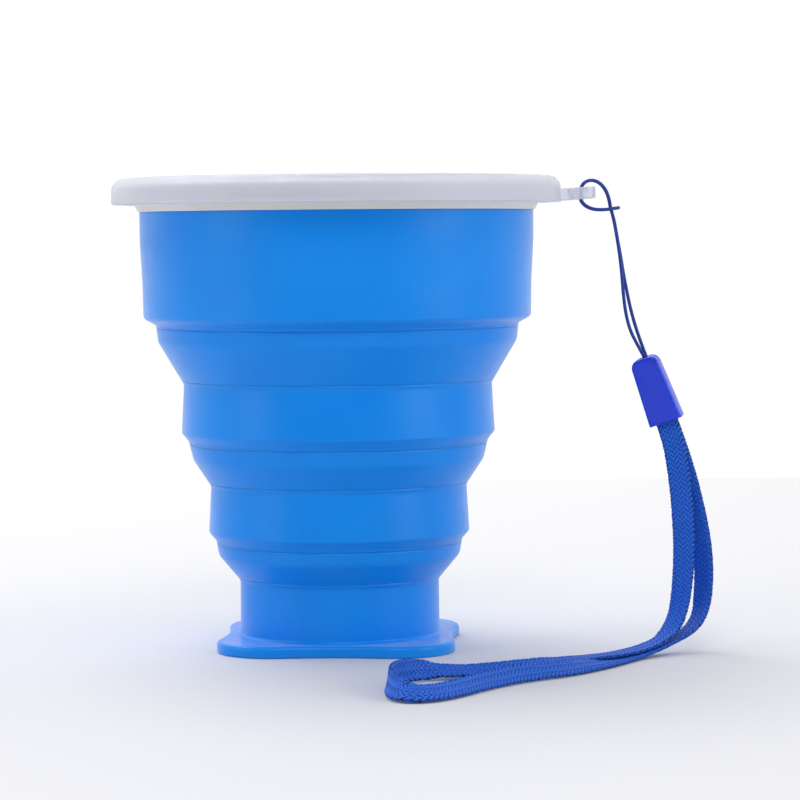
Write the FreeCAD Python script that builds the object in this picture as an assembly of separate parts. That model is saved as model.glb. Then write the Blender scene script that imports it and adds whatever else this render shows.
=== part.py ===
import FreeCAD, Part
import math
import os

# A collapsible silicone cup with a push-fit lid, a lanyard cord, a clasp and a wrist strap.
# Millimetres. The cup's axis is Z, its foot stands on Z = 0, and the lid's tab points along +X.

Vector = FreeCAD.Vector

# ---- Driving dimensions: silicone cup ----
FOOT_HEIGHT = 2.2
FOOT_LOBE_CENTRE = 11.6
FOOT_LOBE_RADIUS = 11.0
FOOT_SIDE_REACH = 21.6
FOOT_TURN = -3.0
FOOT_EDGE_ROUND = 0.7
BASE_RADIUS = 19.2
BASE_FLOOR = 1.4
BAND_WALL = 2.0
FOLD_WALL = 1.15
FOLD_ELBOW_ROUND = 1.2
LIP_ROUND = 0.4

# Each fold: radius and height of its lower crease, its elbow and its upper crease, outside.
LOWER_FOLD = ((19.15, 12.6), (23.25, 17.5), (23.7, 20.3))
MIDDLE_FOLD = ((24.6, 30.8), (27.95, 35.9), (28.8, 39.5))
UPPER_FOLD = ((29.6, 50.4), (34.45, 58.6), (34.8, 61.8))

# Each band's lip, where the band is widest: outside radius and height.
LOWER_LIP = (25.1, 22.0)
UPPER_LIP = (30.1, 41.1)
COLLAR_LIP = (37.2, 63.2)
COLLAR_WAIST = (37.3, 70.0)
COLLAR_SHOULDER = (37.73, 78.0)
COLLAR_TOP = 83.4

# ---- Driving dimensions: rim ring and lid ----
RING_BORE = 35.7
RING_UNDER = 38.0
RING_STEP = (38.7, 84.8)
RING_FLANGE = 41.6
RING_FLANGE_BOTTOM = 85.3
RING_TOP = 87.4
TONGUE_INNER = 36.2
TONGUE_OUTER = 37.2
TONGUE_TOP = 85.4
LID_BOTTOM = 84.8
LID_RADIUS = 43.1
LID_TOP = 89.8
LID_WALL = 1.2
LID_EDGE_ROUND = 2.3
LID_PANEL_TOP = 88.7
LID_SEAT_GAP = 0.1
LID_SKIRT_BORE = 41.95
LID_BEAD_BORE = 41.85
LID_PLUG_RADIUS = 35.4
LID_PLUG_BOTTOM = 84.0
TAB_WIDTH = 8.0
TAB_REACH = 49.8
TAB_ROOT = 41.9
TAB_BOTTOM = 84.9
TAB_THICKNESS = 2.3
TAB_RISE = 4.0
TAB_HOLE_X = 46.2
TAB_HOLE_RADIUS = 1.8

# ---- Driving dimensions: cord, clasp and strap ----
CORD_DIAMETER = 0.7
CLASP_FOOT = Vector(62.6, -8.0, 43.0)
CLASP_TILT = -20.0
CLASP_TURN = -8.0
CLASP_LENGTH = 12.9
CLASP_TOP_HALF = 2.6
CLASP_FOOT_HALF = 3.25
CLASP_HALF_DEPTH = 2.15
CLASP_SHOULDER_ROUND = 1.3
CLASP_EDGE_ROUND = 0.6
CLASP_CAVITY_HALF = 2.5
CLASP_CAVITY_DEPTH = 1.35
CLASP_CAVITY_TOP = 11.6
CORD_SLOT_HALF = 1.0
CORD_SLOT_DEPTH = 1.25
KNOT_RADIUS = 1.3
KNOT_HEIGHT = 9.0
CRIMP_BOTTOM = 2.0
CRIMP_TOP = 5.0
CRIMP_WALL = 0.2
STRAP_WIDTH = 4.4
STRAP_THICKNESS = 0.7
STRAP_FIT = 0.02
STRAP_END_HEIGHT = 6.0

# The share of the shorter run that an arc takes up at each of its ends.
ARC_SHARE = 0.45
# How far the strap turns between two of its cross-sections, in degrees.
STRAP_TURN_STEP = 12.0

# The cord's route: up one strand from the clasp, over the tab's end bar, down through the hole,
# round both standing strands, and back the same way along the other strand.
CORD_STRAND_UP = (
    (60.05, -8.5, 50.7),
    (58.85, -8.5, 54.2),
    (57.2, -8.2, 57.2),
    (55.7, -7.5, 60.2),
    (54.95, -6.6, 63.4),
    (54.6, -5.5, 66.9),
    (54.4, -4.6, 70.6),
    (54.1, -3.6, 74.4),
    (53.6, -2.6, 78.1),
    (53.1, -1.6, 81.3),
)
CORD_HITCH = (
    (52.55, -0.5, 83.7),
    (52.3, -0.5, 85.4),
    (51.6, -0.55, 87.2),
    (50.3, -0.6, 88.6),
    (48.6, -0.65, 89.0),
    (47.2, -0.7, 88.2),
    (46.75, -0.7, 86.6),
    (46.85, -0.7, 85.0),
    (47.8, -0.8, 83.9),
    (49.3, -1.0, 83.3),
    (50.8, -1.25, 83.2),
    (52.3, -1.5, 83.3),
    (53.6, -1.2, 83.5),
)
CORD_BIGHT_TIP = (54.3, 0.0, 83.6)
CORD_STRAND_DOWN = (
    (53.3, 0.25, 81.3),
    (53.75, -0.8, 78.1),
    (54.3, -1.9, 74.7),
    (54.75, -2.9, 71.3),
    (55.35, -3.9, 67.7),
    (56.0, -5.0, 64.2),
    (56.9, -6.3, 60.6),
    (58.1, -7.3, 57.0),
    (59.2, -7.6, 54.0),
    (60.3, -7.6, 50.7),
)

# The strap's route from the clasp's foot, down leg A, round its loop on the ground and up leg B,
# with the way that its inner face looks at each point.
STRAP_ROUTE = (
    ((63.6, -8.36, 40.15), (-0.13, -0.99, -0.05)),
    ((64.4, -9.1, 35.2), (-0.2, -1.0, 0.1)),
    ((65.05, -9.6, 30.0), (-0.2, -1.0, 0.1)),
    ((65.4, -10.3, 24.6), (-0.2, -1.0, 0.1)),
    ((65.5, -11.2, 19.2), (-0.3, -0.9, 0.2)),
    ((65.2, -12.4, 14.4), (-0.4, -0.9, 0.3)),
    ((64.6, -13.8, 10.0), (-0.5, -0.8, 0.4)),
    ((63.8, -15.4, 6.9), (-0.5, -0.6, 0.6)),
    ((62.4, -17.4, 4.4), (-0.4, -0.5, 0.8)),
    ((60.3, -19.5, 2.75), (-0.1, 0.0, 1.0)),
    ((57.4, -22.0, 1.8), (0.0, 0.0, 1.0)),
    ((54.1, -25.2, 1.38), (0.0, 0.0, 1.0)),
    ((50.4, -28.8, 1.3), (0.0, 0.0, 1.0)),
    ((46.2, -32.0, 1.5), (0.0, 0.1, 1.0)),
    ((41.5, -36.2, 1.48), (0.1, -0.1, 1.0)),
    ((36.8, -40.4, 1.4), (0.2, -0.3, 0.9)),
    ((32.2, -43.7, 1.35), (0.2, -0.4, 0.9)),
    ((27.6, -46.0, 1.3), (0.1, -0.4, 0.9)),
    ((23.2, -47.6, 1.35), (0.2, -0.3, 0.9)),
    ((18.8, -48.8, 1.6), (0.2, -0.4, 0.9)),
    ((15.0, -50.6, 2.1), (0.5, -0.7, 0.6)),
    ((12.1, -53.6, 2.3), (0.8, -0.5, 0.1)),
    ((10.4, -57.0, 2.35), (1.0, -0.3, 0.0)),
    ((9.6, -62.0, 2.4), (1.0, -0.1, -0.1)),
    ((9.6, -67.2, 2.35), (0.9, 0.1, -0.3)),
    ((10.9, -73.2, 2.05), (0.7, 0.4, -0.6)),
    ((13.5, -75.3, 1.65), (0.0, 0.65, -0.8)),
    ((17.0, -73.7, 1.5), (-0.3, 0.45, -0.9)),
    ((20.6, -69.4, 1.42), (-0.4, 0.3, -0.9)),
    ((24.4, -63.1, 1.42), (-0.4, 0.3, -0.9)),
    ((28.4, -57.6, 1.55), (-0.4, 0.4, -0.8)),
    ((32.9, -52.5, 1.65), (-0.4, 0.5, -0.8)),
    ((37.9, -48.5, 1.45), (-0.3, 0.4, -0.9)),
    ((42.4, -44.7, 1.2), (-0.25, 0.25, -0.9)),
    ((46.4, -39.6, 0.72), (0.0, 0.0, -1.0)),
    ((50.2, -33.4, 0.5), (0.0, 0.0, -1.0)),
    ((54.0, -26.6, 0.5), (0.0, 0.0, -1.0)),
    ((58.1, -21.9, 1.05), (0.1, 0.0, -1.0)),
    ((62.2, -18.6, 2.2), (0.2, 0.0, -1.0)),
    ((66.0, -16.0, 3.95), (0.4, 0.2, -0.9)),
    ((68.3, -13.5, 6.6), (0.6, 0.4, -0.6)),
    ((69.1, -11.5, 10.8), (0.6, 0.7, -0.3)),
    ((69.35, -10.2, 16.0), (0.6, 0.8, -0.1)),
    ((68.7, -9.4, 21.6), (0.5, 0.9, 0.0)),
    ((67.4, -8.7, 27.8), (0.4, 0.9, 0.0)),
    ((65.8, -8.05, 33.8), (0.2, 1.0, 0.0)),
    ((63.71, -7.64, 40.2), (0.13, 0.99, 0.05)),
)


# ---- Outlines and solids of revolution ----
def tangent_arc(before, corner, after, radius):
    """Start, middle and end of the arc that rounds a corner, and the arc's own turn."""
    way_in = (corner - before).normalize()
    way_out = (after - corner).normalize()
    turn = way_in.getAngle(way_out)
    setback = radius * math.tan(turn / 2)
    start = corner - way_in * setback
    end = corner + way_out * setback
    inward = (way_out - way_in).normalize()
    middle = corner + inward * (radius / math.cos(turn / 2) - radius)
    return start, middle, end


def rounded_wire(corners):
    """A closed wire in the XZ plane through corners (x, z) or (x, z, rounding radius)."""
    count = len(corners)
    points = [Vector(corner[0], 0, corner[1]) for corner in corners]
    joints = []
    for index, corner in enumerate(corners):
        if len(corner) == 3:
            before = points[index - 1]
            after = points[(index + 1) % count]
            joints.append(tangent_arc(before, points[index], after, corner[2]))
        else:
            joints.append((points[index], None, points[index]))
    edges = []
    for index, (start, middle, end) in enumerate(joints):
        if middle is not None:
            edges.append(Part.Arc(start, middle, end).toShape())
        following = joints[(index + 1) % count][0]
        edges.append(Part.LineSegment(end, following).toShape())
    return Part.Wire(edges)


def turned(corners):
    """The solid that an outline sweeps out in one full turn about the cup's axis."""
    face = Part.Face(rounded_wire(corners))
    return face.revolve(Vector(0, 0, 0), Vector(0, 0, 1), 360)


def crossing(first_start, first_way, second_start, second_way):
    """Where two lines in the radius-height plane cross."""
    bottom = first_way[0] * second_way[1] - first_way[1] * second_way[0]
    gap = (second_start[0] - first_start[0], second_start[1] - first_start[1])
    along = (gap[0] * second_way[1] - gap[1] * second_way[0]) / bottom
    return first_start[0] + along * first_way[0], first_start[1] + along * first_way[1]


def fold(lower, elbow, upper):
    """A thin cone and neck of even wall between two creases."""
    cone_way = (elbow[0] - lower[0], elbow[1] - lower[1])
    neck_way = (upper[0] - elbow[0], upper[1] - elbow[1])
    cone_inset = FOLD_WALL * math.hypot(*cone_way) / cone_way[1]
    neck_inset = FOLD_WALL * math.hypot(*neck_way) / neck_way[1]
    inner_lower = (lower[0] - cone_inset, lower[1])
    inner_upper = (upper[0] - neck_inset, upper[1])
    inner_elbow = crossing(inner_lower, cone_way, inner_upper, neck_way)
    return turned([
        lower,
        (elbow[0], elbow[1], FOLD_ELBOW_ROUND + FOLD_WALL),
        upper,
        inner_upper,
        (inner_elbow[0], inner_elbow[1], FOLD_ELBOW_ROUND),
        inner_lower,
    ])


def band(fold_below, lip, fold_above):
    """A stiff band with a chamfered lip at its foot, between two folds."""
    bottom_radius, bottom = fold_below[2]
    top_radius, top = fold_above[0]
    return turned([
        (bottom_radius - FOLD_WALL, bottom),
        (bottom_radius, bottom),
        (lip[0], lip[1], LIP_ROUND),
        (top_radius, top),
        (top_radius - BAND_WALL, top),
    ])


# ---- Silicone pieces ----
def foot_plate():
    """A flat foot with a round lobe at each corner and a shallow hollow along each side."""
    lobe_gap = FOOT_LOBE_RADIUS - FOOT_SIDE_REACH
    top = 2 * FOOT_LOBE_CENTRE ** 2 - lobe_gap ** 2
    hollow_centre = top / (2 * (FOOT_LOBE_CENTRE + lobe_gap))
    hollow_radius = hollow_centre - FOOT_SIDE_REACH
    slope = math.atan2(FOOT_LOBE_CENTRE, hollow_centre - FOOT_LOBE_CENTRE)
    join_x = hollow_centre - hollow_radius * math.cos(slope)
    join_y = hollow_radius * math.sin(slope)
    lobe_tip = FOOT_LOBE_CENTRE + FOOT_LOBE_RADIUS / math.sqrt(2)
    edges = []
    for quarter in range(4):
        turn = FreeCAD.Rotation(Vector(0, 0, 1), 90 * quarter + FOOT_TURN)
        side_start = turn.multVec(Vector(join_x, -join_y, 0))
        side_middle = turn.multVec(Vector(FOOT_SIDE_REACH, 0, 0))
        side_end = turn.multVec(Vector(join_x, join_y, 0))
        lobe_middle = turn.multVec(Vector(lobe_tip, lobe_tip, 0))
        lobe_end = turn.multVec(Vector(join_y, join_x, 0))
        edges.append(Part.Arc(side_start, side_middle, side_end).toShape())
        edges.append(Part.Arc(side_end, lobe_middle, lobe_end).toShape())
    plate = Part.Face(Part.Wire(edges)).extrude(Vector(0, 0, FOOT_HEIGHT))
    rims = [edge for edge in plate.Edges if edge.BoundBox.ZLength < FOOT_EDGE_ROUND]
    return plate.makeFillet(FOOT_EDGE_ROUND, rims)


def base_cup():
    """The closed cup at the bottom, from the foot up to the lower fold."""
    top_radius, top = LOWER_FOLD[0]
    return turned([
        (0, FOOT_HEIGHT),
        (BASE_RADIUS, FOOT_HEIGHT),
        (top_radius, top),
        (top_radius - BAND_WALL, top),
        (BASE_RADIUS - BAND_WALL, FOOT_HEIGHT + BASE_FLOOR, 1.0),
        (0, FOOT_HEIGHT + BASE_FLOOR),
    ])


def collar_band():
    """The tall top band, with a tongue on its top edge that locks into the rim ring."""
    neck_radius, bottom = UPPER_FOLD[2]
    inner_lip = COLLAR_LIP[0] - BAND_WALL
    shoulder_radius = COLLAR_SHOULDER[0]
    return turned([
        (neck_radius - FOLD_WALL, bottom),
        (neck_radius, bottom),
        (COLLAR_LIP[0], COLLAR_LIP[1], 0.6),
        COLLAR_WAIST,
        COLLAR_SHOULDER,
        (shoulder_radius, COLLAR_TOP),
        (TONGUE_OUTER, COLLAR_TOP),
        (TONGUE_OUTER, TONGUE_TOP),
        (TONGUE_INNER, TONGUE_TOP),
        (TONGUE_INNER, COLLAR_TOP),
        (RING_BORE, COLLAR_TOP),
        (inner_lip, COLLAR_LIP[1] + BAND_WALL / 2, 0.8),
    ])


# ---- Hard pieces at the mouth ----
def rim_ring():
    """The hard ring round the mouth: a step that shows, and a flange that the lid snaps over."""
    return turned([
        (RING_BORE, COLLAR_TOP),
        (TONGUE_INNER, COLLAR_TOP),
        (TONGUE_INNER, TONGUE_TOP),
        (TONGUE_OUTER, TONGUE_TOP),
        (TONGUE_OUTER, COLLAR_TOP),
        (RING_UNDER, COLLAR_TOP, 0.1),
        RING_STEP,
        (RING_FLANGE, RING_FLANGE_BOTTOM, 0.3),
        (RING_FLANGE, RING_TOP, 0.4),
        (RING_BORE, RING_TOP, 0.4),
    ])


def lid_cap():
    """The lid's round part: a sunk panel, a raised hollow rim, a snap skirt and a plug lip."""
    panel_bottom = RING_TOP + LID_SEAT_GAP
    rim_inside = RING_STEP[0] + LID_WALL / 2
    return turned([
        (0, panel_bottom),
        (LID_PLUG_RADIUS - LID_WALL, panel_bottom),
        (LID_PLUG_RADIUS - LID_WALL, LID_PLUG_BOTTOM, 0.3),
        (LID_PLUG_RADIUS - 0.2, LID_PLUG_BOTTOM, 0.3),
        (LID_PLUG_RADIUS, panel_bottom),
        (rim_inside, panel_bottom, 0.3),
        (rim_inside + 0.4, LID_TOP - LID_WALL, 0.4),
        (LID_SKIRT_BORE, LID_TOP - LID_WALL, 1.0),
        (LID_SKIRT_BORE, LID_BOTTOM + 0.9),
        (LID_BEAD_BORE, LID_BOTTOM + 0.5),
        (LID_BEAD_BORE, LID_BOTTOM),
        (LID_RADIUS, LID_BOTTOM, 0.3),
        (LID_RADIUS - 0.2, LID_TOP, LID_EDGE_ROUND),
        (rim_inside - 0.8, LID_TOP, 0.6),
        (rim_inside - 1.4, LID_PANEL_TOP, 0.5),
        (0, LID_PANEL_TOP),
    ])


def lid_tab():
    """The lanyard tab: a flat tongue with a round end and a hole, rising a little outward."""
    half = TAB_WIDTH / 2
    end_centre = TAB_REACH - half
    root_a = Vector(TAB_ROOT, -half, 0)
    end_a = Vector(end_centre, -half, 0)
    tip = Vector(TAB_REACH, 0, 0)
    end_b = Vector(end_centre, half, 0)
    root_b = Vector(TAB_ROOT, half, 0)
    outline = Part.Wire([
        Part.LineSegment(root_a, end_a).toShape(),
        Part.Arc(end_a, tip, end_b).toShape(),
        Part.LineSegment(end_b, root_b).toShape(),
        Part.LineSegment(root_b, root_a).toShape(),
    ])
    plate = Part.Face(outline).extrude(Vector(0, 0, TAB_THICKNESS))
    hole_foot = Vector(TAB_HOLE_X, 0, -TAB_THICKNESS)
    hole = Part.makeCylinder(TAB_HOLE_RADIUS, 3 * TAB_THICKNESS, hole_foot)
    tab = plate.cut(hole)
    tab.rotate(Vector(TAB_ROOT, 0, 0), Vector(0, 1, 0), -TAB_RISE)
    tab.translate(Vector(0, 0, TAB_BOTTOM))
    skirt_space = Part.makeCylinder(LID_SKIRT_BORE + 0.3, LID_TOP)
    return tab.cut(skirt_space)


def lid():
    """The lid in one piece: cap and tab."""
    return lid_cap().fuse(lid_tab()).removeSplitter()


# ---- Clasp ----
def placed_in_clasp(shape):
    """Moves a shape from the clasp's own frame, foot at the origin and +Z up, to its place."""
    turn = FreeCAD.Rotation(Vector(0, 0, 1), CLASP_TURN)
    tilt = FreeCAD.Rotation(Vector(0, 1, 0), CLASP_TILT)
    moved = shape.copy()
    moved.Placement = FreeCAD.Placement(CLASP_FOOT, tilt.multiply(turn))
    return moved


def clasp_block(half_width, half_depth, bottom, top):
    """A block of the clasp's own frame, centred on its long axis."""
    corner = Vector(-half_width, -half_depth, bottom)
    return Part.makeBox(2 * half_width, 2 * half_depth, top - bottom, corner)


def clasp_shell(side):
    """One hollow half of the clasp. side is -1 for the front half and +1 for the back half."""
    outline = rounded_wire([
        (-CLASP_FOOT_HALF, 0, 0.3),
        (CLASP_FOOT_HALF, 0, 0.3),
        (CLASP_TOP_HALF, CLASP_LENGTH, CLASP_SHOULDER_ROUND),
        (-CLASP_TOP_HALF, CLASP_LENGTH, CLASP_SHOULDER_ROUND),
    ])
    body = Part.Face(outline).extrude(Vector(0, side * CLASP_HALF_DEPTH, 0))
    outer = side * CLASP_HALF_DEPTH
    rims = [edge for edge in body.Edges
            if abs(edge.BoundBox.YMin - outer) < 0.01 and abs(edge.BoundBox.YMax - outer) < 0.01]
    body = body.makeFillet(CLASP_EDGE_ROUND, rims)
    cavity = clasp_block(CLASP_CAVITY_HALF, CLASP_CAVITY_DEPTH, -1, CLASP_CAVITY_TOP)
    slot = clasp_block(CORD_SLOT_HALF, CORD_SLOT_DEPTH, CLASP_CAVITY_TOP - 1, CLASP_LENGTH + 1)
    narrowed = cavity.cut(clasp_corner_fill(1)).cut(clasp_corner_fill(-1))
    return placed_in_clasp(body.cut(narrowed).cut(slot))


def clasp_corner_fill(way):
    """The wedge that narrows the cavity above the strap, so that the walls stay thick."""
    narrow = CLASP_TOP_HALF - 0.8
    low = STRAP_END_HEIGHT + 0.5
    corners = [
        (way * CLASP_CAVITY_HALF, low),
        (way * (CLASP_CAVITY_HALF + 1), low),
        (way * (CLASP_CAVITY_HALF + 1), CLASP_LENGTH),
        (way * narrow, CLASP_LENGTH),
        (way * narrow, low + 1.5),
    ]
    wedge = Part.Face(rounded_wire(corners))
    wedge.translate(Vector(0, -CLASP_HALF_DEPTH, 0))
    return wedge.extrude(Vector(0, 2 * CLASP_HALF_DEPTH, 0))


def cord_knot():
    """The stopper knot that keeps the cord's ends in the clasp."""
    return placed_in_clasp(Part.makeSphere(KNOT_RADIUS, Vector(0, 0, KNOT_HEIGHT)))


def strap_crimp():
    """The metal sleeve squeezed round the strap's two ends."""
    inner_half = STRAP_WIDTH / 2 + STRAP_FIT
    inner_depth = STRAP_THICKNESS + STRAP_FIT
    outer = clasp_block(inner_half + CRIMP_WALL, inner_depth + CRIMP_WALL, CRIMP_BOTTOM, CRIMP_TOP)
    inner = clasp_block(inner_half, inner_depth, CRIMP_BOTTOM - 1, CRIMP_TOP + 1)
    return placed_in_clasp(outer.cut(inner))


# ---- Cord and strap ----
def route_corners(points):
    """The tangent arc at each inner point of a route, as large as its two runs allow."""
    corners = []
    for before, corner, after in zip(points, points[1:], points[2:]):
        turn = (corner - before).getAngle(after - corner)
        shorter = min((corner - before).Length, (after - corner).Length)
        radius = ARC_SHARE * shorter / math.tan(turn / 2)
        corners.append((tangent_arc(before, corner, after, radius), radius, turn))
    return corners


def route_wire(points):
    """Straight runs joined by tangent arcs."""
    edges = []
    here = points[0]
    for (start, middle, end), _, _ in route_corners(points):
        edges.append(Part.LineSegment(here, start).toShape())
        edges.append(Part.Arc(start, middle, end).toShape())
        here = end
    edges.append(Part.LineSegment(here, points[-1]).toShape())
    return Part.Wire(edges)


def print_route(name, points, section, volume):
    """Prints a route's length, its tightest radius and its solid's volume against the section."""
    wire = route_wire(points)
    radii = [radius for _, radius, _ in route_corners(points)]
    turns = [math.degrees(turn) for _, _, turn in route_corners(points)]
    runs = [(after - before).Length for before, after in zip(points, points[1:])]
    print(name, "length", round(wire.Length, 1), "volume", round(volume, 1),
          "section x length", round(section * wire.Length, 1))
    print(name, "radii", [round(radius, 1) for radius in radii])
    print(name, "largest turn", round(max(turns), 1), "runs", [round(run, 1) for run in runs])


def mirrored_in_depth(points):
    """The same points on the other side of the tab's middle plane, in reverse order."""
    return [(x, -y, z) for x, y, z in reversed(points)]


def loop_cord():
    """The thin cord, hitched round the tab's end bar."""
    route = list(CORD_STRAND_UP) + list(CORD_HITCH) + [CORD_BIGHT_TIP]
    route += mirrored_in_depth(CORD_HITCH) + list(CORD_STRAND_DOWN)
    points = [Vector(*place) for place in route]
    path = route_wire(points)
    way = points[1] - points[0]
    circle = Part.Circle(points[0], way, CORD_DIAMETER / 2)
    profile = Part.Wire([circle.toShape()])
    tube = path.makePipeShell([profile], True, False)
    section = math.pi * CORD_DIAMETER ** 2 / 4
    print_route("loop_cord", points, section, tube.Volume)
    return tube


def clasp_point(across, depth, height):
    """A point of the clasp's own frame, in the cup's frame."""
    return placed_in_clasp(Part.Vertex(across, depth, height)).Point


def strap_points():
    """The strap's route with both ends in the clasp, and its inner face's directions."""
    layer = STRAP_THICKNESS / 2 + STRAP_FIT / 2
    front = clasp_point(0, -layer, STRAP_END_HEIGHT)
    back = clasp_point(0, layer, STRAP_END_HEIGHT)
    points = [front] + [Vector(*place) for place, _ in STRAP_ROUTE] + [back]
    facings = [Vector(*facing) for _, facing in STRAP_ROUTE]
    facings = [facings[0]] + facings + [facings[-1]]
    return points, facings


def strap_stations(points, facings):
    """Places, directions and facings along the strap: each run's ends and steps along each arc."""
    stations = [(points[0], (points[1] - points[0]).normalize(), facings[0])]
    for index, ((start, middle, end), radius, turn) in enumerate(route_corners(points)):
        arc = Part.Arc(start, middle, end)
        steps = max(2, math.ceil(math.degrees(turn) / STRAP_TURN_STEP))
        before, here, after = facings[index:index + 3]
        for step in range(steps + 1):
            share = step / steps
            parameter = arc.FirstParameter + share * (arc.LastParameter - arc.FirstParameter)
            middle = here * (1 - ARC_SHARE)
            lean = middle + before * (ARC_SHARE * (1 - share)) + after * (ARC_SHARE * share)
            way = arc.tangent(parameter)[0]
            stations.append((arc.value(parameter), way, lean))
    stations.append((points[-1], (points[-1] - points[-2]).normalize(), facings[-1]))
    return stations


def strap_section(place, way, facing):
    """The four corners of the strap's section at a station."""
    across = way.cross(facing).normalize() * (STRAP_WIDTH / 2)
    through = across.cross(way).normalize() * (STRAP_THICKNESS / 2)
    return (place + across + through, place - across + through,
            place - across - through, place + across - through)


def triangle(first, second, third):
    """A flat three-sided face."""
    return Part.Face(Part.makePolygon([first, second, third, first]))


def wrist_strap():
    """The flat strap in one loop, both ends in the clasp."""
    points, facings = strap_points()
    sections = [strap_section(*station) for station in strap_stations(points, facings)]
    faces = []
    for near, far in zip(sections, sections[1:]):
        for side in range(4):
            following = (side + 1) % 4
            faces.append(triangle(near[side], near[following], far[following]))
            faces.append(triangle(near[side], far[following], far[side]))
    for end in (sections[0], sections[-1]):
        faces.append(Part.Face(Part.makePolygon(list(end) + [end[0]])))
    strap = Part.makeSolid(Part.makeShell(faces))
    if strap.Volume < 0:
        strap.reverse()
    print_route("wrist_strap", points, STRAP_WIDTH * STRAP_THICKNESS, strap.Volume)
    lowest = min(corner.z for section in sections for corner in section)
    print("wrist_strap lowest point", round(lowest, 2))
    return strap


def main():
    """Makes every piece and writes one STEP file for each."""
    pieces = {
        "foot_plate": foot_plate(),
        "base_cup": base_cup(),
        "lower_fold": fold(*LOWER_FOLD),
        "lower_band": band(LOWER_FOLD, LOWER_LIP, MIDDLE_FOLD),
        "middle_fold": fold(*MIDDLE_FOLD),
        "upper_band": band(MIDDLE_FOLD, UPPER_LIP, UPPER_FOLD),
        "upper_fold": fold(*UPPER_FOLD),
        "collar_band": collar_band(),
        "rim_ring": rim_ring(),
        "lid": lid(),
        "loop_cord": loop_cord(),
        "cord_knot": cord_knot(),
        "clasp_front_shell": clasp_shell(-1),
        "clasp_back_shell": clasp_shell(1),
        "strap_crimp": strap_crimp(),
        "wrist_strap": wrist_strap(),
    }
    os.makedirs("parts", exist_ok=True)
    for name, shape in pieces.items():
        shape.exportStep("parts/" + name + ".step")
        print(name, "valid", shape.isValid(), "solids", len(shape.Solids),
              "volume", round(shape.Volume, 1))


main()
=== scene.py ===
import math
from collections import namedtuple

import bmesh
import bpy
from mathutils import Matrix, Quaternion, Vector


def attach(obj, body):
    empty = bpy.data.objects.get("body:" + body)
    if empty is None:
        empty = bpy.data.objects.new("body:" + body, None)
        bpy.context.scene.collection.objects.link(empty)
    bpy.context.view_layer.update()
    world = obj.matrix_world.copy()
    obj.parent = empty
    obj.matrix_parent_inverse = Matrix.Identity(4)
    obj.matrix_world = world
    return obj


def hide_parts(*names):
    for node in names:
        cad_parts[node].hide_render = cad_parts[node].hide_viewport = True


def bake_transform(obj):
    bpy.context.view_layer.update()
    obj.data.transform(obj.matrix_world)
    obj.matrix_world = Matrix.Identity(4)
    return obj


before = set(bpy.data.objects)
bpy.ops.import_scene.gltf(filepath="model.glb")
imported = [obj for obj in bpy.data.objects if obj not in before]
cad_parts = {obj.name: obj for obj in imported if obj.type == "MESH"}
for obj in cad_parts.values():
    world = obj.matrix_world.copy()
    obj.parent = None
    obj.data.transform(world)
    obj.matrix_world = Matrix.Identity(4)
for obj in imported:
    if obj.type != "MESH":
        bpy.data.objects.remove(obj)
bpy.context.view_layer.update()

MM = 0.001

# ---- Driving dimensions, in millimetres: foot and base cup ----
FOOT_TOP = 2.2
FOOT_LOBE_CENTRE = 11.6
FOOT_LOBE_RADIUS = 11.0
FOOT_SIDE_REACH = 21.6
FOOT_TURN = -3.0
FOOT_HOLLOW_STEPS = 24
FOOT_LOBE_STEPS = 48
# The foot's edge, from the floor up: how far in from the plan outline, and how high.
FOOT_EDGE = (
    (0.35, 0.0),
    (0.12, 0.1),
    (0.0, 0.35),
    (0.0, 1.45),
    (0.06, 1.75),
    (0.22, 2.0),
    (0.48, 2.15),
    (0.8, FOOT_TOP),
)
BASE_RADIUS = 19.2
BASE_FLOOR = 1.4
BASE_FLOOR_ROUND = 1.5
BASE_SUNK = 0.3
BASE_SKIRT_BOTTOM = 0.7
BASE_SKIRT_TOP = 0.6
BASE_SKIRT_RISE = 0.02
BASE_FILLET_RISE = 0.3
BASE_FILLET = 0.5

# ---- Driving dimensions: bands, folds and collar, as (radius, height) ----
BAND_WALL = 2.0
FOLD_WALL = 1.15
LOWER_FOLD = ((19.15, 12.6), (23.25, 17.5), (23.7, 20.3))
MIDDLE_FOLD = ((24.6, 30.8), (27.95, 35.9), (28.8, 39.5))
UPPER_FOLD = ((29.6, 50.4), (34.45, 58.6), (34.8, 61.8))
LOWER_LIP = (25.1, 22.0)
UPPER_LIP = (30.1, 41.1)
ELBOW_ROUND = 1.2
LIP_ROUND = 0.5
CREASE_ROUND = 1.0
NECK_ROUND = 0.5
CREASE_INNER_DROP = 0.9
NECK_INNER_RISE = 0.4
# How far up a cone, and down a neck, the stiff bands reach before the folds take over.
CONE_STUB = 0.8
NECK_STUB = 0.5
COLLAR_LIP = (37.2, 63.2)
COLLAR_CHAMFER_WIDTH = 0.5
COLLAR_CHAMFER_DROP = 0.35
COLLAR_CHAMFER_ROUND = 0.5
COLLAR_LIP_RISE = 0.15
COLLAR_LIP_ROUND = 0.6
COLLAR_WAIST = (37.3, 70.0)
COLLAR_SHOULDER = (37.73, 78.0)
COLLAR_SIDE_ROUND = 30.0
COLLAR_TOP = 83.4
COLLAR_TOP_ROUND = 0.15
COLLAR_INNER_RISE = 1.0
COLLAR_INNER_ROUND = 0.8

# ---- Driving dimensions: ring ----
RING_BORE = 35.7
RING_SPIGOT = 38.0
RING_STEP = (38.7, 84.8)
RING_FLANGE = 41.6
RING_FLANGE_BOTTOM = 85.3
RING_TOP = 87.4
RING_BORE_ROUND = 0.2
RING_SPIGOT_ROUND = 0.25
RING_FLANGE_ROUND = 0.3
RING_ROUND = 0.4

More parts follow.
